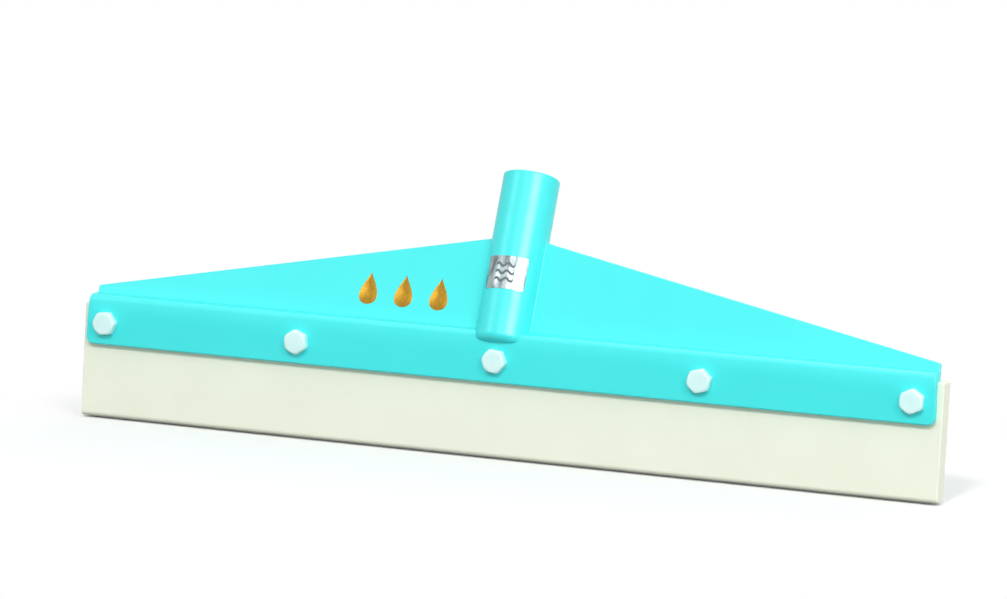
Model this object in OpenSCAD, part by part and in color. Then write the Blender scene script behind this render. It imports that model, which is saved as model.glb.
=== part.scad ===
// Floor squeegee head: one moulding carries the handle socket, a leaning plate and a front flange.
// A foam blade hangs behind the flange, held by a rear strip with plastic bolts and nuts.
// Origin at the middle of the blade's lower edge, +X along the blade, +Y to the back, +Z up.

/* [Foam blade] */
// Length of the blade
blade_len = 406; // [300:1:620]
// Height of the blade
blade_h = 52; // [44:0.5:70]
// Thickness of the foam
blade_t = 10; // [6:0.5:14]

/* [Flange] */
// Length of blade that shows past each end of the head
blade_overhang = 2.5; // [0:0.5:8]
// Depth to which the flange laps down over the blade
flange_lap = 18.5; // [17:0.5:26]
// Wall of the flange
flange_t = 3.5; // [3:0.25:5]
// Radius of the flange's lower corners
flange_corner_r = 3.5; // [1:0.25:6]
// Radius of the bend in the upper part of the flange's face
bend_r = 46; // [24:1:60]
// Height of the bend, up to the ridge
bend_h = 11; // [6:0.5:14]

/* [Step and plate] */
// Height of the step above the blade, at the foot of the plate
step_h = 4.6; // [4:0.2:7]
// Fall of the step's top from the foot of the plate forward to the ridge
step_fall = 0.6; // [0:0.1:1.5]
// Radius of the step's upper end corners
step_corner_r = 1.5; // [0.5:0.25:3]
// Distance from the flange's face back to the foot of the plate
plate_setback = 7.8; // [6:0.2:10]
// Thickness of the plate
plate_t = 3; // [2:0.25:4.5]
// Lean of the plate and the socket behind the blade's plane, in degrees
lean = 20; // [10:0.5:28]
// Distance from the head's ends in to the plate's ends
plate_inset = 1.25; // [0:0.25:6]
// Rise of the plate at its ends
plate_end_rise = 3.5; // [1:0.25:8]
// Rise of the plate to the point where its two upper edges would meet
plate_peak_rise = 44; // [36:0.5:55]

/* [Handle socket] */
// Diameter of the bore for the handle
socket_bore = 22; // [18:0.5:25]
// Wall of the socket
socket_wall = 1.75; // [1.5:0.25:3]
// Height of the mouth above the plate's foot, along the socket
socket_rise = 71; // [62:1:90]
// Height of the bore's floor above the plate's foot, along the socket
socket_floor = 5; // [4.5:0.5:12]
// Depth of the closed toe below the plate's foot, along the socket
socket_drop = 7; // [5:0.25:7.5]
// Radius round the edge of the toe
toe_r = 3; // [1:0.25:5]
// Radius round the outer edge of the mouth
rim_r = 0.8; // [0.2:0.1:1.2]
// Fillet between the socket and the plate
socket_fillet = 1.5; // [1:0.25:7]

/* [Clamp strip] */
// Thickness of the strip
strip_t = 3; // [2:0.25:5]
// Height of the strip
strip_h = 18; // [15:0.5:24]
// Distance from the blade's top down to the strip's top
strip_drop = 1; // [0.5:0.25:3]
// Radius of the strip's corners
strip_corner_r = 3; // [1:0.25:6]

/* [Bolts and nuts] */
// Number of bolts
bolt_count = 5; // [2:1:7]
// Distance from the head's ends in to the end bolts
bolt_end = 10; // [8:0.5:20]
// Distance from the blade's top down to the line of bolts
bolt_drop = 8.5; // [7.5:0.25:10]
// Diameter of the bolts
bolt_d = 6; // [4:0.5:8]
// Gap round a bolt in its holes
hole_clearance = 0.25; // [0.1:0.05:0.6]
// Gap between the thread of a bolt and its nut
thread_clearance = 0.1; // [0.05:0.05:0.2]
// Width of heads and nuts across their flats
hex_af = 10; // [9:0.5:12]
// Height of the bolt heads
head_h = 4; // [2.5:0.25:5]
// Height of the nuts
nut_h = 5; // [3:0.25:6]
// Length of bolt that shows past the nut
bolt_tail = 3.5; // [1:0.25:8]
// Chamfer at the tip of the bolts
tip_chamfer = 0.8; // [0.3:0.1:1.2]

/* [Foil label] */
// Arc of the socket that the label covers, in degrees
label_arc = 90; // [40:5:120]
// Height of the label
label_h = 15; // [8:0.5:22]
// Height of the label's middle above the plate's foot, along the socket
label_rise = 23.5; // [18:0.5:45]
// Thickness of the label
label_t = 0.2; // [0.1:0.05:0.4]
// Thickness of the glue under the label
label_glue = 0.05; // [0.02:0.01:0.1]

/* [Hidden] */
$fn = 96;

// Cuts and roots run past the faces that they meet by this much
over = 1;

head_len = blade_len - 2 * blade_overhang;
blade_front = -blade_t / 2;
blade_back = blade_t / 2;
flange_face = blade_front - flange_t;
flange_low = blade_h - flange_lap;

// Foot of the plate: the line where its front meets the top of the step
foot_y = flange_face + plate_setback;
foot_z = blade_h + step_h;
ridge_z = foot_z - step_fall;
plate_half = head_len / 2 - plate_inset;
plate_root = (step_h + over) / cos(lean);

socket_r = socket_bore / 2 + socket_wall;

strip_top = blade_h - strip_drop;
strip_low = strip_top - strip_h;
strip_back = blade_back + strip_t;

bolt_z = blade_h - bolt_drop;
bolt_pitch = (head_len - 2 * bolt_end) / (bolt_count - 1);
bolt_len = flange_t + blade_t + strip_t + nut_h + bolt_tail;
hole_r = bolt_d / 2 + hole_clearance;

// Turns at which the hexagons were left when the bolts were tightened, in degrees
head_turns = [-5, 24, 8, -16, -27];
nut_turns = [12, -20, 4, 27, -9];

// Larger than the whole head, for cuts that take all there is on one side
beyond = blade_len;

aqua = "turquoise";
natural = "azure";

bolts = [for (i = [1:bolt_count]) i];

// Place of the plate's middle plane at a given height
function plate_middle(z) = foot_y + plate_t / 2 / cos(lean) + (z - foot_z) * tan(lean);
function bolt_x(i) = (i - (bolt_count + 1) / 2) * bolt_pitch;
function turn(list, i) = list[(i - 1) % len(list)];

// Waste outside a round of radius r at a square corner that lies at the origin
module corner_waste(r) {
    difference() {
        translate([-over, -over]) square(r + over);
        translate([r, r]) circle(r);
    }
}

// Waste at the four corners of a bar as long as the head, cut from front to back
module bar_corners(front, back, low, high, low_r, high_r) {
    translate([0, back + over, 0]) rotate([90, 0, 0]) linear_extrude(back - front + 2 * over)
        for (side = [0, 1]) mirror([side, 0]) translate([-head_len / 2, 0]) {
            translate([0, low]) corner_waste(low_r);
            translate([0, high]) mirror([0, 1]) corner_waste(high_r);
        }
}

// Frame of the socket: Z up its axis from the plate's foot, -Y out of the plate's front
module on_socket() {
    translate([0, foot_y, foot_z])
        rotate([-lean, 0, 0])
            translate([0, plate_t / 2, 0]) children();
}

// Frame of a bolt: Z along the shank to the back, from the flange's face
module on_bolt(i) {
    translate([bolt_x(i), flange_face, bolt_z]) rotate([-90, 0, 0]) children();
}

module bolt_holes() {
    for (i = bolts)
        on_bolt(i) translate([0, 0, -over]) cylinder(r = hole_r, h = bolt_len + 2 * over);
}

// Section through the flange and the step, drawn in Y and Z
module flange_section() {
    bend_low = ridge_z - bend_h;
    difference() {
        polygon([
            [flange_face, flange_low],
            [blade_front, flange_low],
            [blade_front, blade_h],
            [plate_middle(blade_h), blade_h],
            [plate_middle(foot_z), foot_z],
            [foot_y, foot_z],
            [flange_face, ridge_z]
        ]);
        // The face bends back towards the lean of the plate
        difference() {
            translate([flange_face - over, bend_low]) square([plate_setback, bend_h + over]);
            translate([flange_face + bend_r, bend_low]) circle(bend_r, $fn = 360);
        }
    }
}

module flange_bar() {
    difference() {
        rotate([90, 0, 90]) linear_extrude(head_len, center = true) flange_section();
        bar_corners(flange_face, plate_middle(foot_z), flange_low, foot_z, flange_corner_r, step_corner_r);
    }
}

// Plate of a given thickness on the socket's frame, its edges rising straight from both ends.
// Its root runs down past the step, and the blade's room cuts it off there.
module plate(thickness) {
    rotate([90, 0, 0]) linear_extrude(thickness, center = true)
        polygon([
            [-plate_half, -plate_root],
            [plate_half, -plate_root],
            [plate_half, plate_end_rise],
            [0, plate_peak_rise],
            [-plate_half, plate_end_rise]
        ]);
}

// One of the four fillets between the socket and the plate, as a section across the socket
module fillet_section() {
    y = plate_t / 2 + socket_fillet;
    x = sqrt(pow(socket_r + socket_fillet, 2) - y * y);
    difference() {
        polygon([[0, 0], [x, 0], [x, y]]);
        translate([x, y]) circle(socket_fillet);
    }
}

module socket_fillets() {
    intersection() {
        translate([0, 0, -plate_root]) linear_extrude(plate_root + plate_peak_rise)
            for (side = [0, 1], face = [0, 1])
                mirror([side, 0]) mirror([0, face]) fillet_section();
        plate(4 * socket_r);
    }
}

// Solid socket with a rounded toe and a rounded mouth
module socket_body() {
    rotate_extrude() difference() {
        translate([0, -socket_drop]) square([socket_r, socket_drop + socket_rise]);
        translate([socket_r, -socket_drop]) mirror([1, 0]) corner_waste(toe_r);
        translate([socket_r, socket_rise]) mirror([1, 0]) mirror([0, 1]) corner_waste(rim_r);
    }
}

// Moulded head: flange, step, plate and socket in one piece, open behind for the blade
module squeegee_head() {
    color(aqua) difference() {
        union() {
            flange_bar();
            on_socket() {
                plate(plate_t);
                socket_fillets();
                socket_body();
            }
        }
        translate([-beyond / 2, blade_front, blade_h - beyond]) cube(beyond);
        bolt_holes();
        on_socket() translate([0, 0, socket_floor])
            cylinder(d = socket_bore, h = socket_rise - socket_floor + over);
    }
}

// Strip of closed-cell foam, punched for the bolts
module foam_blade() {
    color("ivory") difference() {
        translate([-blade_len / 2, blade_front, 0]) cube([blade_len, blade_t, blade_h]);
        bolt_holes();
    }
}

// Flat strip behind the blade that spreads the pull of the nuts
module clamp_strip() {
    color(aqua) difference() {
        translate([-head_len / 2, blade_back, strip_low]) cube([head_len, strip_t, strip_h]);
        bar_corners(blade_back, strip_back, strip_low, strip_top, strip_corner_r, strip_corner_r);
        bolt_holes();
    }
}

// Hexagonal prism whose corners are cut by a cone at the top, and at the bottom too if both
module hexagon(height, both) {
    corner_r = hex_af / 2 / cos(30);
    cut = (corner_r - hex_af / 2) * tan(30);
    low_cut = both ? cut : 0;
    intersection() {
        cylinder(r = corner_r, h = height, $fn = 6);
        rotate_extrude() polygon([
            [0, 0],
            [both ? hex_af / 2 : corner_r, 0],
            [corner_r, low_cut],
            [corner_r, height - cut],
            [hex_af / 2, height],
            [0, height]
        ]);
    }
}

// Plastic bolt: hexagonal head on the flange's face, shank through to past the nut
module hex_bolt(i) {
    color(natural) on_bolt(i) {
        rotate(turn(head_turns, i)) mirror([0, 0, 1]) hexagon(head_h, false);
        rotate_extrude() polygon([
            [0, 0],
            [bolt_d / 2, 0],
            [bolt_d / 2, bolt_len - tip_chamfer],
            [bolt_d / 2 - tip_chamfer, bolt_len],
            [0, bolt_len]
        ]);
    }
}

// Plastic nut, tight against the clamp strip
module hex_nut(i) {
    color(natural) on_bolt(i) translate([0, 0, strip_back - flange_face]) difference() {
        rotate(turn(nut_turns, i)) hexagon(nut_h, true);
        translate([0, 0, -over])
            cylinder(r = bolt_d / 2 + thread_clearance, h = nut_h + 2 * over);
    }
}

// Plain foil label, wrapped round the front of the socket
module foil_label() {
    color("silver") on_socket() translate([0, 0, label_rise - label_h / 2])
        rotate(-90 - label_arc / 2) rotate_extrude(angle = label_arc)
            translate([socket_r + label_glue, 0]) square([label_t, label_h]);
}

squeegee_head();
foam_blade();
clamp_strip();
foil_label();
for (i = bolts) {
    hex_bolt(i);
    hex_nut(i);
}
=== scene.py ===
"""Floor squeegee head: a moulded aqua head with a handle socket, a foam blade behind its flange,
a clamp strip, nylon bolts and nuts, and a foil label. Metres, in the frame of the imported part."""

import math

import bmesh
import bpy
import numpy as np
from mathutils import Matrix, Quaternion, Vector


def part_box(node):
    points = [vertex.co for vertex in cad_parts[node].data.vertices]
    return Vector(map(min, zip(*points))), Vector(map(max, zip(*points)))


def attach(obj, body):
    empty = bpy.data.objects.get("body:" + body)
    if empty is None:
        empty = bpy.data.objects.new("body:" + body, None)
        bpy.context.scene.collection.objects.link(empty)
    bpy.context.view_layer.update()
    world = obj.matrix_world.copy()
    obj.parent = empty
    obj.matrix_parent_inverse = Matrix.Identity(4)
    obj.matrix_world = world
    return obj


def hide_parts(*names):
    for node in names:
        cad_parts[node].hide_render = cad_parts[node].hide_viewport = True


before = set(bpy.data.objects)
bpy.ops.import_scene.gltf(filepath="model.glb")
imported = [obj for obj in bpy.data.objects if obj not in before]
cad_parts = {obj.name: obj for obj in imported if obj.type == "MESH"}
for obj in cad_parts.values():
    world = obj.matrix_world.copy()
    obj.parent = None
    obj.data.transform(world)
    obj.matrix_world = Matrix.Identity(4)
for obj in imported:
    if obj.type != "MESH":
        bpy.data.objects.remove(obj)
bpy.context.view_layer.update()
mm = 0.001


# Moulded head
# One injection moulding in polypropylene: a flange that laps over the blade, a narrow step, a plate
# that leans back and rises to the middle, and the handle socket blended into the plate.

blade_low, blade_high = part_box("foam_blade")
head_low, head_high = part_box("squeegee_head")
flange_face = blade_low.y - 3.5 * mm
flange_corner = 3.5 * mm
# Where the corner's quarter circle has stations, and how far short of its upright end it stops
corner_shares = np.linspace(0.05, 0.75, 8)
corner_short = 0.2 * mm
rim_round = 0.9 * mm
bend_radius = 25 * mm
bend_middle_z = blade_high.z - 1.33 * mm
ridge_y = flange_face + 1.35 * mm
ridge_z = blade_high.z + 4 * mm
ridge_round = 3.2 * mm
foot_y = flange_face + 7.8 * mm
foot_z = blade_high.z + 4.6 * mm
foot_round = 0.9 * mm
# The cove at the foot goes into the corner by a share of its radius, and stays below the plate's top
cove_sunk = 0.2
cove_headroom = 1.2 * mm
cove_steps = 13
end_round = 0.7 * mm
end_draft = 0.5 * mm
# The flange's back and the step's underside, which is cut flat to the blade at the end
seat_z = blade_high.z - 1 * mm
seat_round = 0.3 * mm
inner_round = 0.8 * mm
heel_back = 0.2 * mm
step_reach = 1.2 * mm
lean = math.radians(20)
plate_t = 3 * mm
plate_half = head_high.x - 1.25 * mm
plate_end_rise = 3.5 * mm
plate_peak_rise = 44 * mm
plate_round = 0.7 * mm
plate_sink = 6 * mm
plate_stations = 40
socket_r = 12.75 * mm
bore_r = 11 * mm
socket_rise = 71 * mm
bore_floor = 5 * mm
socket_drop = 7 * mm
socket_fillet = 0.5 * mm
toe_round = 3 * mm
mouth_round = 0.8 * mm
lip_round = 0.5 * mm
bore_round = 1 * mm
plate_root = socket_r - 1.1 * mm
root_stations = 15
# The share of the fillet's circle that is drawn, as the socket's wall covers the rest
fillet_share = 0.93
# The plate's upper round shrinks by this share of the inset at its ends
round_loss = 0.9
# Skins that join run this far into each other, so that they cross cleanly
bite = 0.05 * mm
# Points closer than this are one point, and edges shorter than a sliver are dissolved after a cut
weld_reach = 0.0005 * mm
sliver = 0.003 * mm
# Faces that meet at a sharper turn than this show a crease
crease_angle = math.radians(35)
arc_steps = 9
end_steps = 7
long_stations = 81
socket_steps = 128


def rounded(corners, radii):
    """Closed outline through corners, each turned into an arc of its own radius. An arc leaves both
    edges one tangent length from the corner: the radius times the tangent of half the turn."""
    corners = np.asarray(corners, float)
    radii = np.asarray(radii, float)[:, None]
    to_last = np.roll(corners, 1, 0) - corners
    to_next = np.roll(corners, -1, 0) - corners
    to_last /= np.linalg.norm(to_last, axis=1, keepdims=True)
    to_next /= np.linalg.norm(to_next, axis=1, keepdims=True)
    half = np.arccos(np.clip((to_last * to_next).sum(1, keepdims=True), -1, 1)) / 2
    middle = to_last + to_next
    middle /= np.linalg.norm(middle, axis=1, keepdims=True)
    centre = corners + middle * radii / np.sin(half)
    start = corners + to_last * radii / np.tan(half) - centre
    across = -middle - start * ((-middle * start).sum(1, keepdims=True) / radii**2)
    across /= np.linalg.norm(across, axis=1, keepdims=True)
    angle = np.linspace(0, 1, arc_steps)[:, None, None] * (math.pi - 2 * half)
    arcs = centre + start * np.cos(angle) + across * radii * np.sin(angle)
    return arcs.transpose(1, 0, 2).reshape(-1, 2)


def drawn_in(outline, inset):
    """A closed, anticlockwise outline moved inwards along its normals, once for each inset. A normal
    stands square to the line between the two neighbours of its point."""
    along = np.roll(outline, -1, 0) - np.roll(outline, 1, 0)
    normal = np.stack([along[:, 1], -along[:, 0]], 1)
    normal /= np.linalg.norm(normal, axis=1, keepdims=True)
    inset = inset[:, None]
    return outline[:, 0] - inset * normal[:, 0], outline[:, 1] - inset * normal[:, 1]


def eased_ends(half_length, radius, steps):
    """Stations along a bar and the inset of its section at each: at both ends the section draws in
    along a quarter circle, so the place is the end less r(1 - sin a) and the inset is r(1 - cos a)."""
    angle = np.linspace(0, math.pi / 2, steps)
    place = half_length - radius * (1 - np.sin(angle))
    inset = radius * (1 - np.cos(angle))
    return np.concatenate([-place[::-1], place]), np.concatenate([inset[::-1], inset])


def skin(rings, looped=False):
    """Points and faces of a closed skin through an array of rings (station, point, xyz): quads between
    neighbouring rings, and a flat face over each end unless the stations close into a loop."""
    stations, count = rings.shape[:2]
    grid = np.arange(stations * count).reshape(stations, count)
    if looped:
        grid = np.concatenate([grid, grid[:1]])
    near, far = grid[:-1], grid[1:]
    quads = np.stack([near, np.roll(near, -1, 1), np.roll(far, -1, 1), far], -1).reshape(-1, 4)
    ends = [] if looped else [grid[:1, ::-1], grid[-1:]]
    return rings.reshape(-1, 3), [quads] + ends


def make_piece(name, skins):
    """One mesh object from closed skins, with doubles welded, its faces turned outwards and shaded
    smooth up to the crease angle."""
    starts = np.cumsum([0] + [len(points) for points, _ in skins])
    points = np.concatenate([points for points, _ in skins])
    groups = [group + start for start, (_, faces) in zip(starts, skins) for group in faces]
    mesh = bpy.data.meshes.new(name)
    mesh.from_pydata(points.tolist(), [], [face for group in groups for face in group.tolist()])
    shell = bmesh.new()
    shell.from_mesh(mesh)
    bmesh.ops.remove_doubles(shell, verts=shell.verts, dist=weld_reach)
    bmesh.ops.recalc_face_normals(shell, faces=shell.faces)
    shell.to_mesh(mesh)
    shell.free()
    mesh.shade_smooth()
    mesh.set_sharp_from_angle(angle=crease_angle)
    piece = bpy.data.objects.new(name, mesh)
    bpy.context.scene.collection.objects.link(piece)
    return piece


def join_solids(piece, skins, operation):
    """Adds closed skins to a piece, or cuts them out of it, one after another. Slivers along the cuts
    are dissolved, and a face that this leaves without neighbours goes."""
    others = [make_piece(f"{piece.name}_{i}", [one]) for i, one in enumerate(skins)]
    for other in others:
        step = piece.modifiers.new(other.name, "BOOLEAN")
        step.operation = operation
        step.solver = "MANIFOLD"
        step.object = other
    whole = piece.evaluated_get(bpy.context.evaluated_depsgraph_get())
    mesh = bpy.data.meshes.new_from_object(whole)
    mesh.materials.clear()
    shell = bmesh.new()
    shell.from_mesh(mesh)
    bmesh.ops.dissolve_degenerate(shell, edges=shell.edges, dist=sliver)
    stray = [face for face in shell.faces if all(edge.is_boundary for edge in face.edges)]
    bmesh.ops.delete(shell, geom=stray, context="FACES")
    shell.to_mesh(mesh)
    shell.free()
    piece.modifiers.clear()
    piece.data = mesh
    for other in others:
        bpy.data.objects.remove(other)
    mesh.shade_smooth()
    mesh.set_sharp_from_angle(angle=crease_angle)


def keep_flats_flat(piece):
    """Shades each face by its size, so that the flats stay flat and only the rounds turn."""
    weights = piece.modifiers.new("flat_faces", "WEIGHTED_NORMAL")
    weights.keep_sharp = True


def flange_bar():
    """The flange and the step: a section in Y and Z carried along X. Near the ends the lower rim lifts
    along a quarter circle, which rounds the two lower corners of the flange. The length shrinks evenly
    with the height, which gives the ends their draft."""
    step_slope = (foot_z - ridge_z) / (foot_y - ridge_y)
    section = rounded(
        [
            (blade_low.y, head_low.z),
            (blade_low.y, seat_z),
            (foot_y - heel_back, seat_z),
            (foot_y + step_reach, foot_z + step_slope * step_reach),
            (ridge_y, ridge_z),
            (flange_face, bend_middle_z),
            (flange_face, head_low.z),
        ],
        [inner_round, seat_round, inner_round, inner_round, ridge_round, bend_radius, rim_round],
    )
    straight = head_high.x - flange_corner
    place, inset = eased_ends(head_high.x, end_round, end_steps)
    span = np.linspace(-1, 1, long_stations) * straight
    corner = straight + corner_shares * flange_corner
    place = np.concatenate([place, span, corner, -corner])
    inset = np.concatenate([inset, np.zeros(len(span) + 2 * len(corner))])
    order = np.argsort(place)
    place = place[order, None]
    y, z = drawn_in(section, inset[order])
    past = np.clip(np.abs(place) - straight, 0, flange_corner - corner_short)
    lift = flange_corner - np.sqrt(flange_corner**2 - past**2)
    low = section[:, 1] < head_low.z + 2 * rim_round
    drawn = 1 - end_draft / head_high.x * (section[:, 1] - head_low.z) / (ridge_z - head_low.z)
    return skin(np.stack([place * drawn, y, z + lift * low], -1))


def foot_cove():
    """The cove between step and plate: a hollow arc, tangent to both, carried along X. Towards the ends,
    where the plate is low, its radius shrinks with the plate's height. It is set a little into both, so
    that it meets them without a seam."""
    to_ridge = np.array([ridge_y - foot_y, ridge_z - foot_z])
    to_ridge /= np.linalg.norm(to_ridge)
    up_plate = np.array([math.sin(lean), math.cos(lean)])
    half = math.acos(to_ridge @ up_plate) / 2
    middle = (to_ridge + up_plate) / np.linalg.norm(to_ridge + up_plate)
    centre = middle / math.sin(half)
    start = to_ridge / math.tan(half) - centre
    aside = np.array([-start[1], start[0]])
    angle = np.linspace(0, math.pi - 2 * half, cove_steps)[:, None]
    arc = centre + start * np.cos(angle) + aside * np.sin(angle)
    sunk = cove_sunk * middle
    outline = np.concatenate([arc, arc[-1:] - sunk, [-sunk], arc[:1] - sunk])
    place = np.linspace(-1, 1, long_stations)[:, None] * (plate_half - plate_round / 2)
    plate_rise = plate_peak_rise - np.abs(place) * (plate_peak_rise - plate_end_rise) / plate_half
    radius = np.minimum(foot_round, (plate_rise - cove_headroom) * math.tan(half))
    y = foot_y - bite * middle[0] + radius * outline[:, 0]
    z = foot_z - bite * middle[1] + radius * outline[:, 1]
    return skin(np.stack([place + 0 * y, y, z], -1))


def on_socket(x, out, up):
    """Points on the socket's frame: up its axis from the plate's foot, and out to the plate's back."""
    y = foot_y + (out + plate_t / 2) * math.cos(lean) + up * math.sin(lean)
    z = foot_z - (out + plate_t / 2) * math.sin(lean) + up * math.cos(lean)
    return np.stack(np.broadcast_arrays(x, y, z), -1)


def plate_wing(side):
    """Half of the plate: a rounded bar section carried out along X from inside the socket's wall. Its
    top falls in a straight line to the end. Close to the socket it thickens along a circle of the
    fillet's radius, whose centre stands one fillet off both the plate and the socket."""
    out = plate_t / 2 + socket_fillet
    centre = math.sqrt((socket_r + socket_fillet) ** 2 - out**2) - bite
    root = np.linspace(plate_root, centre, root_stations)[:-1]
    far = np.linspace(centre, plate_half - plate_round, plate_stations)
    angle = np.linspace(0, math.pi / 2, end_steps)[1:]
    x = np.concatenate([root, far, plate_half - plate_round * (1 - np.sin(angle))])
    inset = np.concatenate([np.zeros(len(root) + len(far)), plate_round * (1 - np.cos(angle))])
    reach = np.clip(centre - x, 0, fillet_share * socket_fillet)
    half = out - np.sqrt(socket_fillet**2 - reach**2) - inset
    top = plate_peak_rise - x * (plate_peak_rise - plate_end_rise) / plate_half - inset
    turn = np.radians(np.concatenate([np.linspace(0, 90, end_steps), np.linspace(90, 180, end_steps)]))
    sway = np.repeat([1, -1], end_steps)
    soft = (plate_round - round_loss * inset)[:, None]
    half, top, low = half[:, None], top[:, None], np.full((len(x), 1), -plate_sink)
    across = np.concatenate([half, sway * (half - soft) + soft * np.cos(turn), -half], 1)
    rise = np.concatenate([low, top - soft + soft * np.sin(turn), low], 1)
    return skin(on_socket(side * x[:, None], across, rise))


def turned(profile, steps, frame_of):
    """A profile of (radius, height) carried round an axis in equal steps, on the frame that is given."""
    angle = np.linspace(0, 2 * math.pi, steps, endpoint=False)
    radius, height = profile[:, :1], profile[:, 1:]
    return skin(frame_of(radius * np.cos(angle), radius * np.sin(angle), height))


def socket_tube():
    """The handle socket: a cup whose toe, rim and floor are rounded, carried round the socket's axis.
    The outline starts and ends in the middle of the tiny arcs that stand next to the axis."""
    axis = 0.01 * mm
    axis_round = 0.002 * mm
    profile = rounded(
        [
            (axis, -socket_drop),
            (socket_r, -socket_drop),
            (socket_r, socket_rise),
            (bore_r, socket_rise),
            (bore_r, bore_floor),
            (axis, bore_floor),
        ],
        [axis_round, toe_round, mouth_round, lip_round, bore_round, axis_round],
    )
    half_arc = arc_steps // 2
    open_profile = np.roll(profile, -half_arc, 0)[: len(profile) - 2 * half_arc]
    return turned(open_profile, socket_steps, on_socket)


bolt_boxes = [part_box(f"hex_bolt_{i}") for i in range(1, 6)]
bolt_places = [(low + high) / 2 for low, high in bolt_boxes]
hole_r = 3.25 * mm
hole_reach = 40 * mm
hole_steps = 48


def bolt_hole(place):
    """A plain drill through flange, blade and strip: a straight cylinder along Y."""

    def along_y(a, b, up):
        return np.stack(np.broadcast_arrays(place.x + a, up, place.z + b), -1)

    return turned(np.array([(hole_r, -hole_reach), (hole_r, hole_reach)]), hole_steps, along_y)


def block(low, high):
    """A plain box between two corners, as two rings."""
    ring = np.array([(low[0], low[1]), (high[0], low[1]), (high[0], high[1]), (low[0], high[1])])
    return skin(np.stack([np.column_stack([ring, np.full(4, z)]) for z in (low[2], high[2])]))


bolt_holes = [bolt_hole(place) for place in bolt_places]
# The room for the blade goes far past the head, and leaves a hair's breadth to the blade itself
room_half, room_back, room_under = 0.3, 0.1, 0.02
blade_hair = 0.01 * mm
blade_room = block(
    (-room_half, blade_low.y + blade_hair, -room_under),
    (room_half, room_back, blade_high.z - blade_hair),
)
head = make_piece("moulded_head", [flange_bar()])
join_solids(head, [plate_wing(1), plate_wing(-1), foot_cove(), socket_tube()], "UNION")
join_solids(head, [blade_room] + bolt_holes, "DIFFERENCE")
keep_flats_flat(head)

# Where a Mix node for colours has its two colours among its inputs, and its result among its outputs
first_colour, second_colour, mixed_colour = 6, 7, 2


def linear(code):
    """Linear RGBA of an sRGB hex colour."""
    srgb = np.array([int(code[i : i + 2], 16) for i in (1, 3, 5)]) / 255
    value = np.where(srgb <= 0.04045, srgb / 12.92, ((srgb + 0.055) / 1.055) ** 2.4)
    return (*value.tolist(), 1.0)


def add_node(tree, kind, inputs=None, **settings):
    """Adds one node, sets its settings, and fills its inputs: a socket is linked, a value is set."""
    node = tree.nodes.new(kind)
    for name, value in settings.items():
        setattr(node, name, value)
    for name, value in (inputs or {}).items():
        if isinstance(value, bpy.types.NodeSocket):
            tree.links.new(value, node.inputs[name])
        else:
            node.inputs[name].default_value = value
    return node


def new_material(name):
    """An empty material, its node tree, and the Object coordinates that its patterns read."""
    material = bpy.data.materials.new(name)
    material.use_nodes = True
    tree = material.node_tree
    tree.nodes.clear()
    return material, tree, add_node(tree, "ShaderNodeTexCoord").outputs["Object"]


def per_metre(size_mm):
    """Scale of a pattern whose features are this many millimetres apart."""
    return 1 / (size_mm * mm)


def moulded_polypropylene():
    """Polypropylene from a polished mould: an even, bright aqua that clouds a little where the melt
    flowed, a smooth gloss that handling dulls in places, and a faint orange peel in the reflections."""
    material, tree, place = new_material("moulded_polypropylene")
    cloud = add_node(tree, "ShaderNodeTexNoise", {"Vector": place, "Scale": per_metre(45), "Detail": 3.0})
    smudge = add_node(tree, "ShaderNodeTexNoise", {"Vector": place, "Scale": per_metre(14), "Detail": 4.0})
    peel = add_node(tree, "ShaderNodeTexNoise", {"Vector": place, "Scale": per_metre(2.2), "Detail": 1.0})
    colour = add_node(
        tree,
        "ShaderNodeMix",
        {
            "Factor": cloud.outputs["Fac"],
            first_colour: linear("#3BE2E3"),
            second_colour: linear("#42EAEA"),
        },
        data_type="RGBA",
    )
    gloss = add_node(
        tree,
        "ShaderNodeMapRange",
        {"Value": smudge.outputs["Fac"], "From Min": 0.3, "From Max": 0.7, "To Min": 0.28, "To Max": 0.36},
    )
    surface = add_node(
        tree,
        "ShaderNodeBump",
        {"Height": peel.outputs["Fac"], "Strength": 0.3, "Distance": 0.03 * mm},
    )
    plastic = add_node(
        tree,
        "ShaderNodeBsdfPrincipled",
        {
            "Base Color": colour.outputs[mixed_colour],
            "Roughness": gloss.outputs["Result"],
            "IOR": 1.49,
            "Normal": surface.outputs["Normal"],
        },
    )
    add_node(tree, "ShaderNodeOutputMaterial", {"Surface": plastic.outputs["BSDF"]})
    return material


aqua = moulded_polypropylene()
head.data.materials.append(aqua)
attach(head, "root")
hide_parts("squeegee_head")


# Foam blade
# One strip of closed-cell EVA foam, knife-cut from sheet, so its faces show fine cut cells and its
# edges are a little soft. It hangs behind the flange and stands on the floor.

blade_edge_round = 0.8 * mm
blade_end_round = 0.7 * mm
blade_foot_round = 2.1 * mm


def blade_bar():
    """The blade: its upright section, rounder at the foot, carried along X and drawn in at both ends."""
    section = rounded(
        [
            (blade_low.y, blade_low.z),
            (blade_high.y, blade_low.z),
            (blade_high.y, blade_high.z),
            (blade_low.y, blade_high.z),
        ],
        [blade_foot_round, blade_foot_round, blade_edge_round, blade_edge_round],
    )
    ends, inset = eased_ends(blade_high.x, blade_end_round, end_steps)
    y, z = drawn_in(section, inset)
    return skin(np.stack([ends[:, None] + 0 * y, y, z], -1))


blade = make_piece("eva_blade", [blade_bar()])
join_solids(blade, bolt_holes, "DIFFERENCE")
keep_flats_flat(blade)


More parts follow.
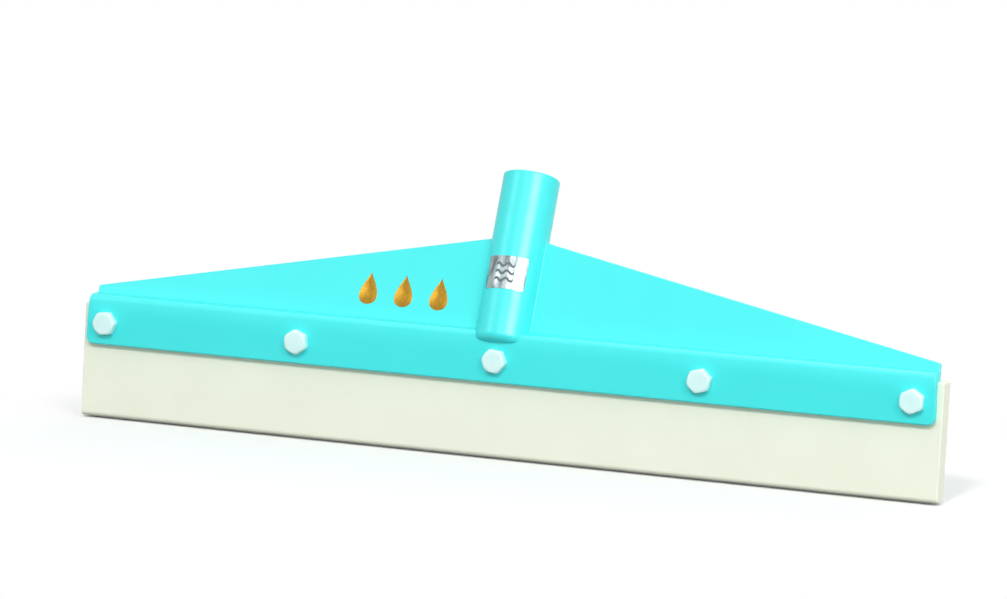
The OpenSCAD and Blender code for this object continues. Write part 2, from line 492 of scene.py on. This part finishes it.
def eva_foam():
    """Closed-cell EVA foam, cut with a knife: matt and creamy white, with open cut cells and a slow
    change of tone where the sheet was denser. Painted shade darkens the bottom of each cell. The cells
    are drawn at half a millimetre, a little coarser than the real ones, so that they show."""
    material, tree, place = new_material("eva_foam")
    cells = add_node(tree, "ShaderNodeTexVoronoi", {"Vector": place, "Scale": per_metre(0.55)})
    dense = add_node(tree, "ShaderNodeTexNoise", {"Vector": place, "Scale": per_metre(22), "Detail": 4.0})
    tone = add_node(
        tree,
        "ShaderNodeMix",
        {
            "Factor": dense.outputs["Fac"],
            first_colour: linear("#EBF0DD"),
            second_colour: linear("#F2F7E5"),
        },
        data_type="RGBA",
    )
    # Painted shade: the colour darkens towards the bottom of each cut cell, where the bump sinks it
    painted_pit_shade = add_node(
        tree,
        "ShaderNodeMapRange",
        {
            "Value": cells.outputs["Distance"],
            "From Min": 0.0,
            "From Max": 0.35,
            "To Min": 0.94,
            "To Max": 1.0,
        },
    )
    colour = add_node(
        tree,
        "ShaderNodeMix",
        {"Factor": 1.0, first_colour: tone.outputs[mixed_colour], second_colour: painted_pit_shade.outputs["Result"]},
        data_type="RGBA",
        blend_type="MULTIPLY",
    )
    surface = add_node(
        tree,
        "ShaderNodeBump",
        {"Height": cells.outputs["Distance"], "Strength": 0.35, "Distance": 0.08 * mm},
    )
    foam = add_node(
        tree,
        "ShaderNodeBsdfPrincipled",
        {
            "Base Color": colour.outputs[mixed_colour],
            "Roughness": 0.85,
            "IOR": 1.48,
            "Specular IOR Level": 0.3,
            "Normal": surface.outputs["Normal"],
        },
    )
    add_node(tree, "ShaderNodeOutputMaterial", {"Surface": foam.outputs["BSDF"]})
    return material


blade.data.materials.append(eva_foam())
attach(blade, "root")
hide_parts("foam_blade")


# Clamp strip
# A flat strip in the same polypropylene as the head. It lies against the back of the foam and spreads
# the pull of the five nuts.

strip_low, strip_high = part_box("clamp_strip")
strip_corner = 3 * mm
strip_edge_round = 0.6 * mm
strip_edge_steps = 6


def flat_strip():
    """The strip: its rounded outline in X and Z carried along Y, drawn in along a quarter circle at its
    front and its back."""
    outline = rounded(
        [
            (strip_low.x, strip_low.z),
            (strip_high.x, strip_low.z),
            (strip_high.x, strip_high.z),
            (strip_low.x, strip_high.z),
        ],
        [strip_corner] * 4,
    )
    depth, inset = eased_ends((strip_high.y - strip_low.y) / 2, strip_edge_round, strip_edge_steps)
    x, z = drawn_in(outline, inset)
    return skin(np.stack([x, (strip_low.y + strip_high.y) / 2 + depth[:, None] + 0 * x, z], -1))


strip = make_piece("rear_strip", [flat_strip()])
join_solids(strip, bolt_holes, "DIFFERENCE")
keep_flats_flat(strip)
strip.data.materials.append(aqua)
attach(strip, "root")
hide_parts("clamp_strip")


# Bolts
# Five M6 bolts moulded in natural nylon 66. The hexagon heads lie on the flange, each left at its own
# turn, and the threaded shanks pass through blade and strip to the nuts.

thread_pitch = 1 * mm
thread_depth = 0.55 * mm
thread_neck = 0.6 * mm
thread_rings = 10
# The groove is flat at the root, past one, and its flanks rise to a narrow crest
groove_depth = 1.25
groove_flank = 1.6
bolt_r = 3 * mm
half_flats = 5 * mm
hex_power = 20
hex_steps = 72
bolt_head_h = 4 * mm
bolt_tip = 0.9 * mm
tip_share = [1, 0.6, 0.01]
tip_gap = 0.02 * mm
head_turns_deg = [-5, 24, 8, -16, -27]
# The head's rings, from the middle of its top to its seat: share of the hexagon's radius, and depth
head_share = [0.003, 0.3, 0.6, 0.75, 0.82, 0.86, 0.9, 0.94, 0.975, 0.994, 1, 1, 1, 0.994, 0.98, 0.9]
head_depth_mm = [0, 0, 0, 0, 0, 0, 0, 0.02, 0.06, 0.14, 0.3, 2, 3.75, 3.92, 4, 4]
# The rings above this depth are the top, which falls away past a share of the flats
top_depth = 0.2 * mm
top_share = 0.86
top_fall = 1.6 * mm
flats_below = 0.25 * mm


def hexagon_radius(angle):
    """Radius of a hexagon with softened corners: one over the radius is a high-power mean of the
    cosines to its six flats, so the corners round off as the power falls."""
    flat_angles = np.radians(30 + 60 * np.arange(6))
    facing = np.maximum(np.cos(angle[..., None] - flat_angles), 0)
    return half_flats / (facing**hex_power).sum(-1) ** (1 / hex_power)


def round_the_bolt(place, front, radius, angle, height):
    """Points round a bolt's axis: the cosine and the sine of the angle in X and Z, the height along Y."""
    return np.stack([place.x + radius * np.cos(angle), front + height, place.z + radius * np.sin(angle)], -1)


def hex_bolt(place, front, back, turn):
    """One bolt as rings about its axis: the head's top, its chamfer and flats, the seat, and then a
    thread whose radius falls along a helix, from crest to root and back once in every pitch."""
    angle = np.linspace(0, 2 * math.pi, hex_steps, endpoint=False)
    radius = np.array(head_share)[:, None] * hexagon_radius(angle - turn)
    depth = np.array(head_depth_mm)[:, None] * mm
    fall = np.maximum(radius - top_share * half_flats, 0) ** 2 / top_fall
    height = np.where(depth < top_depth, depth + fall, np.maximum(depth, fall + flats_below))
    height = np.minimum(height, bolt_head_h)
    length = back - front
    down = np.arange(bolt_head_h, length - tip_gap, thread_pitch / thread_rings)[:, None]
    phase = (down / thread_pitch - angle / (2 * math.pi)) % 1
    dip = np.clip(groove_depth - np.abs(2 * phase - 1) * groove_flank, 0, 1)
    fade = np.clip((down - bolt_head_h - thread_neck) / thread_pitch, 0, 1)
    shank = bolt_r - thread_depth * dip * fade
    taper = bolt_r - np.maximum(down - (length - bolt_tip), 0)
    shank = np.minimum(shank, taper)
    end_r = bolt_r - bolt_tip - thread_depth
    tip = np.minimum(np.array(tip_share)[:, None] * end_r, shank[-1:])
    radius = np.concatenate([radius, shank, tip])
    height = np.concatenate([height, down + 0 * angle, 0 * tip + length])
    return skin(round_the_bolt(place, front, radius, angle, height))


def natural_nylon():
    """Natural nylon 66, moulded: milky and a little see-through, so that light softens inside it, with
    a satin skin and faint clouds."""
    material, tree, place = new_material("natural_nylon")
    cloud = add_node(tree, "ShaderNodeTexNoise", {"Vector": place, "Scale": per_metre(5), "Detail": 3.0})
    satin = add_node(tree, "ShaderNodeTexNoise", {"Vector": place, "Scale": per_metre(1.1), "Detail": 2.0})
    colour = add_node(
        tree,
        "ShaderNodeMix",
        {
            "Factor": cloud.outputs["Fac"],
            first_colour: linear("#D0F9F6"),
            second_colour: linear("#E0FEFB"),
        },
        data_type="RGBA",
    )
    surface = add_node(
        tree,
        "ShaderNodeBump",
        {"Height": satin.outputs["Fac"], "Strength": 0.15, "Distance": 0.04 * mm},
    )
    moulding = add_node(
        tree,
        "ShaderNodeBsdfPrincipled",
        {
            "Base Color": colour.outputs[mixed_colour],
            "Roughness": 0.36,
            "IOR": 1.53,
            "Subsurface Weight": 0.5,
            "Subsurface Radius": (1.0, 1.2, 1.2),
            "Subsurface Scale": 1.5 * mm,
            "Normal": surface.outputs["Normal"],
        },
    )
    add_node(tree, "ShaderNodeOutputMaterial", {"Surface": moulding.outputs["BSDF"]})
    return material


nylon = natural_nylon()
for number, (place, (low, high), turn_deg) in enumerate(zip(bolt_places, bolt_boxes, head_turns_deg), 1):
    bolt = make_piece(f"nylon_bolt_{number}", [hex_bolt(place, low.y, high.y, -math.radians(turn_deg))])
    bolt.data.materials.append(nylon)
    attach(bolt, "root")
    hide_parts(f"hex_bolt_{number}")


# Nuts
# Five hexagon nuts moulded in the same nylon as the bolts, chamfered on both faces. They are drawn up
# against the clamp strip, each left at its own turn.

nut_bore = 3.1 * mm
nut_mouth = 3.6 * mm
nut_sink = 0.5 * mm
nut_share = [0.8, 0.9, 0.95, 0.985, 1]
nut_turns_deg = [12, -20, 4, 27, -9]
chamfer_share = 0.97
chamfer_slope = math.tan(math.radians(30))
chamfer_edge = 0.05 * mm


def hex_nut(place, front, back, turn):
    """One nut as rings about its axis that close into a loop: out across one face, over the chamfer,
    along the flats, back across the other face, and through the bore with its two countersinks."""
    angle = np.linspace(0, 2 * math.pi, hex_steps, endpoint=False)
    share = np.array(nut_share)[:, None]
    face = share * hexagon_radius(angle - turn)
    fall = np.maximum(face - chamfer_share * half_flats, 0) * chamfer_slope
    fall = fall + chamfer_edge * (share > chamfer_share)
    thick = back - front
    bore = np.array([nut_mouth, nut_bore, nut_bore, nut_mouth])[:, None] + 0 * angle
    bore_at = np.array([thick, thick - nut_sink, nut_sink, 0])[:, None] + 0 * angle
    radius = np.concatenate([face, face[::-1], bore])
    height = np.concatenate([fall, thick - fall[::-1], bore_at])
    return skin(round_the_bolt(place, front, radius, angle, height), looped=True)


for number, (place, turn_deg) in enumerate(zip(bolt_places, nut_turns_deg), 1):
    low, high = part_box(f"hex_nut_{number}")
    nut = make_piece(f"nylon_nut_{number}", [hex_nut(place, low.y, high.y, -math.radians(turn_deg))])
    nut.data.materials.append(nylon)
    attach(nut, "root")
    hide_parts(f"hex_nut_{number}")


# Foil label
# A small sticker of metallised polyester film, cut with rounded corners. It is rubbed down by hand
# round the front of the socket, so it ripples a little.

label_arc = math.radians(90)
label_h = 15 * mm
label_rise = 23.5 * mm
label_gap = 0.05 * mm
label_t = 0.2 * mm
label_corner = 1 * mm
label_end = 0.1 * mm
label_stations = 61
label_rows = 25
# The shares of the thickness where the ripples are lowest, and by which they rise
ripple_low = 0.55
ripple_rise = 0.4
ripple_across = 1.7 * mm
ripple_aslant = 3.1 * mm


def foil_sheet():
    """The label: a thin section carried round the socket's front. Its height draws in along a quarter
    circle at both ends. Two sines that cross aslant ripple its face, and their sum runs from -2 to 2."""
    half = label_arc / 2 * socket_r
    along = np.concatenate([np.linspace(-half, half, label_stations), [half - label_end, -half + label_end]])
    along = np.sort(along)[:, None]
    past = np.maximum(np.abs(along) - (half - label_corner), 0)
    tall = label_h / 2 - label_corner + np.sqrt(np.maximum(label_corner**2 - past**2, 0))
    up = np.linspace(-1, 1, label_rows)
    ripple = np.sin(along / ripple_across + 2 * up) + np.sin(up * 5 - along / ripple_aslant)
    face = label_t * (ripple_low + ripple_rise * (0.5 + 0.25 * ripple))
    rise = np.concatenate([up * tall, (up * tall)[:, ::-1]], 1)
    radius = socket_r + label_gap + np.concatenate([face, 0 * face[:, ::-1]], 1)
    angle = along / socket_r
    return skin(on_socket(radius * np.sin(angle), -radius * np.cos(angle), label_rise + rise))


def metallised_foil():
    """Metallised polyester film: a silver mirror, blurred by fine creases and the glue below it. Its
    colour carries painted reflections: light and dark bands that run up the socket, so the coordinates
    are turned by its lean."""
    material, tree, place = new_material("metallised_foil")
    roll = add_node(
        tree,
        "ShaderNodeMapping",
        {"Vector": place, "Rotation": (lean, 0, 0.12), "Scale": (1, 1, 0.06)},
    ).outputs["Vector"]
    painted_reflection_band = add_node(tree, "ShaderNodeTexNoise", {"Vector": roll, "Scale": per_metre(4.5), "Detail": 2.0})
    crease = add_node(tree, "ShaderNodeTexNoise", {"Vector": place, "Scale": per_metre(3), "Detail": 5.0})
    # Painted reflection: the bands mix a dark and a light grey into the foil's base colour
    shade = add_node(
        tree,
        "ShaderNodeMapRange",
        {"Value": painted_reflection_band.outputs["Fac"], "From Min": 0.38, "From Max": 0.62},
        interpolation_type="SMOOTHSTEP",
    )
    colour = add_node(
        tree,
        "ShaderNodeMix",
        {
            "Factor": shade.outputs["Result"],
            first_colour: linear("#6E7A7C"),
            second_colour: linear("#AFBCBE"),
        },
        data_type="RGBA",
    )
    surface = add_node(
        tree,
        "ShaderNodeBump",
        {"Height": crease.outputs["Fac"], "Strength": 0.4, "Distance": 0.12 * mm},
    )
    foil = add_node(
        tree,
        "ShaderNodeBsdfPrincipled",
        {
            "Base Color": colour.outputs[mixed_colour],
            "Metallic": 1.0,
            "Roughness": 0.24,
            "Normal": surface.outputs["Normal"],
        },
    )
    add_node(tree, "ShaderNodeOutputMaterial", {"Surface": foil.outputs["BSDF"]})
    return material


label = make_piece("foil_sticker", [foil_sheet()])
label.data.materials.append(metallised_foil())
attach(label, "root")
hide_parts("foil_label")


# Printed waves
# Three plain wave lines in dark grey ink, screen-printed on the middle of the foil label. The film of
# ink follows the curve of the foil.

wave_half = 4.4 * mm
wave_long = 4.5 * mm
wave_high = 0.7 * mm
wave_rises = [-3.4 * mm, 0, 3.4 * mm]
wave_line = 0.55 * mm
wave_tip = 0.02 * mm
wave_stations = 121
ink_t = 0.02 * mm
ink_root = 0.15 * mm


def ink_wave(rise):
    """One wave line: a thin flat section carried along a sine and wrapped round the label, so that the
    distance across becomes an angle about the socket's axis. Where the sine is steep the section grows
    taller by the root of one plus the slope squared, which keeps the line's width even. The ends close
    along half circles."""
    across = np.linspace(-1, 1, wave_stations)
    across = (wave_half * np.sin(across * math.pi / 2))[:, None]
    past = np.maximum(np.abs(across) - (wave_half - wave_line), 0)
    half = np.sqrt(np.maximum(wave_line**2 - past**2, wave_tip**2))
    turn = 2 * math.pi * across / wave_long
    half *= np.sqrt(1 + (2 * math.pi * wave_high / wave_long * np.cos(turn)) ** 2)
    middle = label_rise + rise + wave_high * np.sin(turn)
    face = socket_r + label_gap + label_t
    radius = face + np.array([ink_t, ink_t, -ink_root, -ink_root])
    angle = across / socket_r
    up = middle + half * np.array([1, -1, -1, 1])
    return skin(on_socket(radius * np.sin(angle), -radius * np.cos(angle), up))


def screen_ink():
    """Screen-printed ink: a dark grey film with an even satin surface and a faint mesh from the screen,
    which is drawn coarser than the real one so that it shows."""
    material, tree, place = new_material("screen_ink")
    weave = add_node(tree, "ShaderNodeTexNoise", {"Vector": place, "Scale": per_metre(0.5), "Detail": 2.0})
    colour = add_node(
        tree,
        "ShaderNodeMix",
        {
            "Factor": weave.outputs["Fac"],
            first_colour: linear("#4A5658"),
            second_colour: linear("#6A787A"),
        },
        data_type="RGBA",
    )
    ink = add_node(
        tree,
        "ShaderNodeBsdfPrincipled",
        {"Base Color": colour.outputs[mixed_colour], "Roughness": 0.45, "IOR": 1.5},
    )
    add_node(tree, "ShaderNodeOutputMaterial", {"Surface": ink.outputs["BSDF"]})
    return material


waves = make_piece("printed_waves", [ink_wave(rise) for rise in wave_rises])
waves.data.materials.append(screen_ink())
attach(waves, "root")


# Stamped drops
# Three plain water drops in gold hot-stamping foil, pressed on the plate with a heated die. Each is a
# flat film a few hundredths of a millimetre thick.

drop_h = 15 * mm
drop_w = 10.5 * mm
drop_rise = 13.5 * mm
drop_places = [-67 * mm, -50 * mm, -33 * mm]
drop_points = 96
drop_waist = 1.6
drop_fullness = 0.6
stamp_t = 0.04 * mm
stamp_root = 0.2 * mm
stamp_draw = 0.985


def stamped_drop(place):
    """One drop: across is sin t times sin(t/2) to the power of the waist, and up is cos t. Its flat face
    stands above the plate, with a thin rim that is drawn in, and its back lies inside the plate."""
    t = np.linspace(0, 2 * math.pi, drop_points, endpoint=False)
    across = drop_fullness * drop_w * np.sin(t) * np.abs(np.sin(t / 2)) ** drop_waist
    rise = drop_h / 2 * np.cos(t)
    out = -plate_t / 2 + np.array([stamp_root, -0.5 * stamp_t, -stamp_t])[:, None]
    draw = np.array([1, 1, stamp_draw])[:, None]
    return skin(on_socket(place + draw * across, out + 0 * across, drop_rise + draw * rise))


def hot_stamped_gold():
    """Gold hot-stamping foil: metallic and warm, with a slight grain from the plastic under it."""
    material, tree, place = new_material("hot_stamped_gold")
    grain = add_node(tree, "ShaderNodeTexNoise", {"Vector": place, "Scale": per_metre(1.2), "Detail": 3.0})
    colour = add_node(
        tree,
        "ShaderNodeMix",
        {
            "Factor": grain.outputs["Fac"],
            first_colour: linear("#7E5A1C"),
            second_colour: linear("#BE9636"),
        },
        data_type="RGBA",
    )
    surface = add_node(
        tree,
        "ShaderNodeBump",
        {"Height": grain.outputs["Fac"], "Strength": 0.2, "Distance": 0.05 * mm},
    )
    gold = add_node(
        tree,
        "ShaderNodeBsdfPrincipled",
        {
            "Base Color": colour.outputs[mixed_colour],
            "Metallic": 1.0,
            "Roughness": 0.3,
            "Normal": surface.outputs["Normal"],
        },
    )
    add_node(tree, "ShaderNodeOutputMaterial", {"Surface": gold.outputs["BSDF"]})
    return material


drops = make_piece("stamped_drops", [stamped_drop(place) for place in drop_places])
drops.data.materials.append(hot_stamped_gold())
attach(drops, "root")


# Floor
# A wide white floor. Close to the squeegee it takes light and shadow, and further off it fades to the
# plain white of the background. It lies a little below the blade, so that the dark line there shows.

floor_drop = 0.9 * mm
floor_half = 30
shadow_reach = 0.08
white_reach = 0.3
# Past the blade's ends the floor turns white this many times sooner than before and behind it
end_fade = 5


def looked_at(tree):
    """One for rays from the camera, a reflection or a see-through surface, and nothing for the rest."""
    path = add_node(tree, "ShaderNodeLightPath").outputs
    straight = add_node(
        tree,
        "ShaderNodeMath",
        {0: path["Is Camera Ray"], 1: path["Is Glossy Ray"]},
        operation="MAXIMUM",
    ).outputs[0]
    return add_node(
        tree,
        "ShaderNodeMath",
        {0: straight, 1: path["Is Transmission Ray"]},
        operation="MAXIMUM",
    ).outputs[0]


def white_floor():
    """Matt white paint, which for camera, glossy and transmission rays fades to plain white with the
    distance from the object."""
    material, tree, place = new_material("white_floor")
    apart = place
    for step, other in (
        ("ABSOLUTE", (0, 0, 0)),
        ("SUBTRACT", (blade_high.x, blade_high.y, 1)),
        ("MAXIMUM", (0, 0, 0)),
        ("MULTIPLY", (end_fade, 1, 1)),
    ):
        apart = add_node(tree, "ShaderNodeVectorMath", {0: apart, 1: other}, operation=step).outputs[0]
    away = add_node(tree, "ShaderNodeVectorMath", {0: apart}, operation="LENGTH")
    fade = add_node(
        tree,
        "ShaderNodeMapRange",
        {"Value": away.outputs["Value"], "From Min": shadow_reach, "From Max": white_reach},
        interpolation_type="SMOOTHSTEP",
    )
    seen = looked_at(tree)
    share = add_node(tree, "ShaderNodeMath", {0: fade.outputs["Result"], 1: seen}, operation="MULTIPLY")
    tone = add_node(
        tree,
        "ShaderNodeMix",
        {"Factor": seen, first_colour: linear("#949494"), second_colour: linear("#F5F5F5")},
        data_type="RGBA",
    )
    paint = add_node(tree, "ShaderNodeBsdfDiffuse", {"Color": tone.outputs[mixed_colour]})
    white = add_node(tree, "ShaderNodeEmission", {"Strength": 1.0})
    faded = add_node(
        tree,
        "ShaderNodeMixShader",
        {0: share.outputs[0], 1: paint.outputs[0], 2: white.outputs[0]},
    )
    add_node(tree, "ShaderNodeOutputMaterial", {"Surface": faded.outputs[0]})
    return material


floor_mesh = bpy.data.meshes.new("floor")
floor_mesh.from_pydata(
    [(x * floor_half, y * floor_half, -floor_drop) for x, y in ((-1, -1), (1, -1), (1, 1), (-1, 1))],
    [],
    [(0, 1, 2, 3)],
)
floor = bpy.data.objects.new("floor", floor_mesh)
bpy.context.scene.collection.objects.link(floor)
floor.data.materials.append(white_floor())


# Light
# An even white tent all round. Four softboxes light the squeegee, from the front, the right, the side
# and behind, and five more show only in its gloss, on ridge, plate and socket.

tent_light = 0.96
tent_white = 1.0
lamp_distance = 3.0
lamp_aim = Vector((0, 0, 60 * mm))

world = bpy.data.worlds.new("white_tent")
bpy.context.scene.world = world
world.use_nodes = True
sky = world.node_tree
sky.nodes.clear()
level = add_node(
    sky,
    "ShaderNodeMapRange",
    {"Value": looked_at(sky), "To Min": tent_light, "To Max": tent_white},
)
tent = add_node(sky, "ShaderNodeBackground", {"Strength": level.outputs["Result"]})
add_node(sky, "ShaderNodeOutputWorld", {"Surface": tent.outputs[0]})


def outlook(azimuth, elevation):
    """Unit vector from the object to a place round it: the azimuth turns from the front to the right,
    and the elevation rises from the floor."""
    flat = math.cos(elevation)
    return Vector((math.sin(azimuth) * flat, -math.cos(azimuth) * flat, math.sin(elevation)))


def softbox(name, azimuth, elevation, width, height, level, lit=True, mirrored=True):
    """A rectangular lamp on a sphere round the object's middle, facing it, at angles in degrees. Its power
    is the light wanted there, in watts on a square metre, times pi and the square of the distance."""
    lamp = bpy.data.lights.new(name, "AREA")
    lamp.shape = "RECTANGLE"
    lamp.size = width
    lamp.size_y = height
    lamp.energy = level * math.pi * lamp_distance**2
    box = bpy.data.objects.new(name, lamp)
    back = outlook(math.radians(azimuth), math.radians(elevation))
    box.location = lamp_aim + back * lamp_distance
    box.rotation_mode = "QUATERNION"
    box.rotation_quaternion = back.to_track_quat("Z", "Y")
    box.visible_diffuse = lit
    box.visible_glossy = mirrored
    bpy.context.scene.collection.objects.link(box)


softbox("key_softbox", 7, 33, 0.35, 0.35, 1.13, mirrored=False)
softbox("right_softbox", 42, 27, 0.8, 0.8, 0.65, mirrored=False)
softbox("side_softbox", 90, 10, 1.5, 0.9, 0.6, mirrored=False)
softbox("back_softbox", 180, 10, 2.2, 0.9, 0.9, mirrored=False)
softbox("ridge_softbox", 0, 92, 2.6, 4.2, 2.8, lit=False)
softbox("plate_softbox", -20, 32, 0.8, 0.8, 0.05, lit=False)
softbox("tube_softbox", -50, 30, 1.0, 1.0, 0.4, lit=False)
softbox("stripe_softbox", 47, 27, 1.7, 1.3, 2.7, lit=False)
softbox("sheen_softbox", 4, 29, 0.75, 0.9, 0.35, lit=False)


# Camera
# A long lens about two metres off, a little above the head and to its right. It is rolled by a few
# degrees, so that the blade falls to the right.

view_azimuth = math.radians(20.8)
view_elevation = math.radians(5.5)
view_roll = math.radians(3.13)
view_target = Vector((-1.0 * mm, 0, 69.95 * mm))
view_distance = 1.932
view_end = 100

camera_data = bpy.data.cameras.new("camera")
camera_data.lens = 156.4
camera_data.sensor_width = 36
camera_data.clip_end = view_end
camera = bpy.data.objects.new("camera", camera_data)
bpy.context.scene.collection.objects.link(camera)
view_back = outlook(view_azimuth, view_elevation)
camera.location = view_target + view_back * view_distance
camera.rotation_mode = "QUATERNION"
camera.rotation_quaternion = view_back.to_track_quat("Z", "Y") @ Quaternion((0, 0, 1), view_roll)
bpy.context.scene.camera = camera
bpy.context.scene.view_settings.view_transform = "Standard"
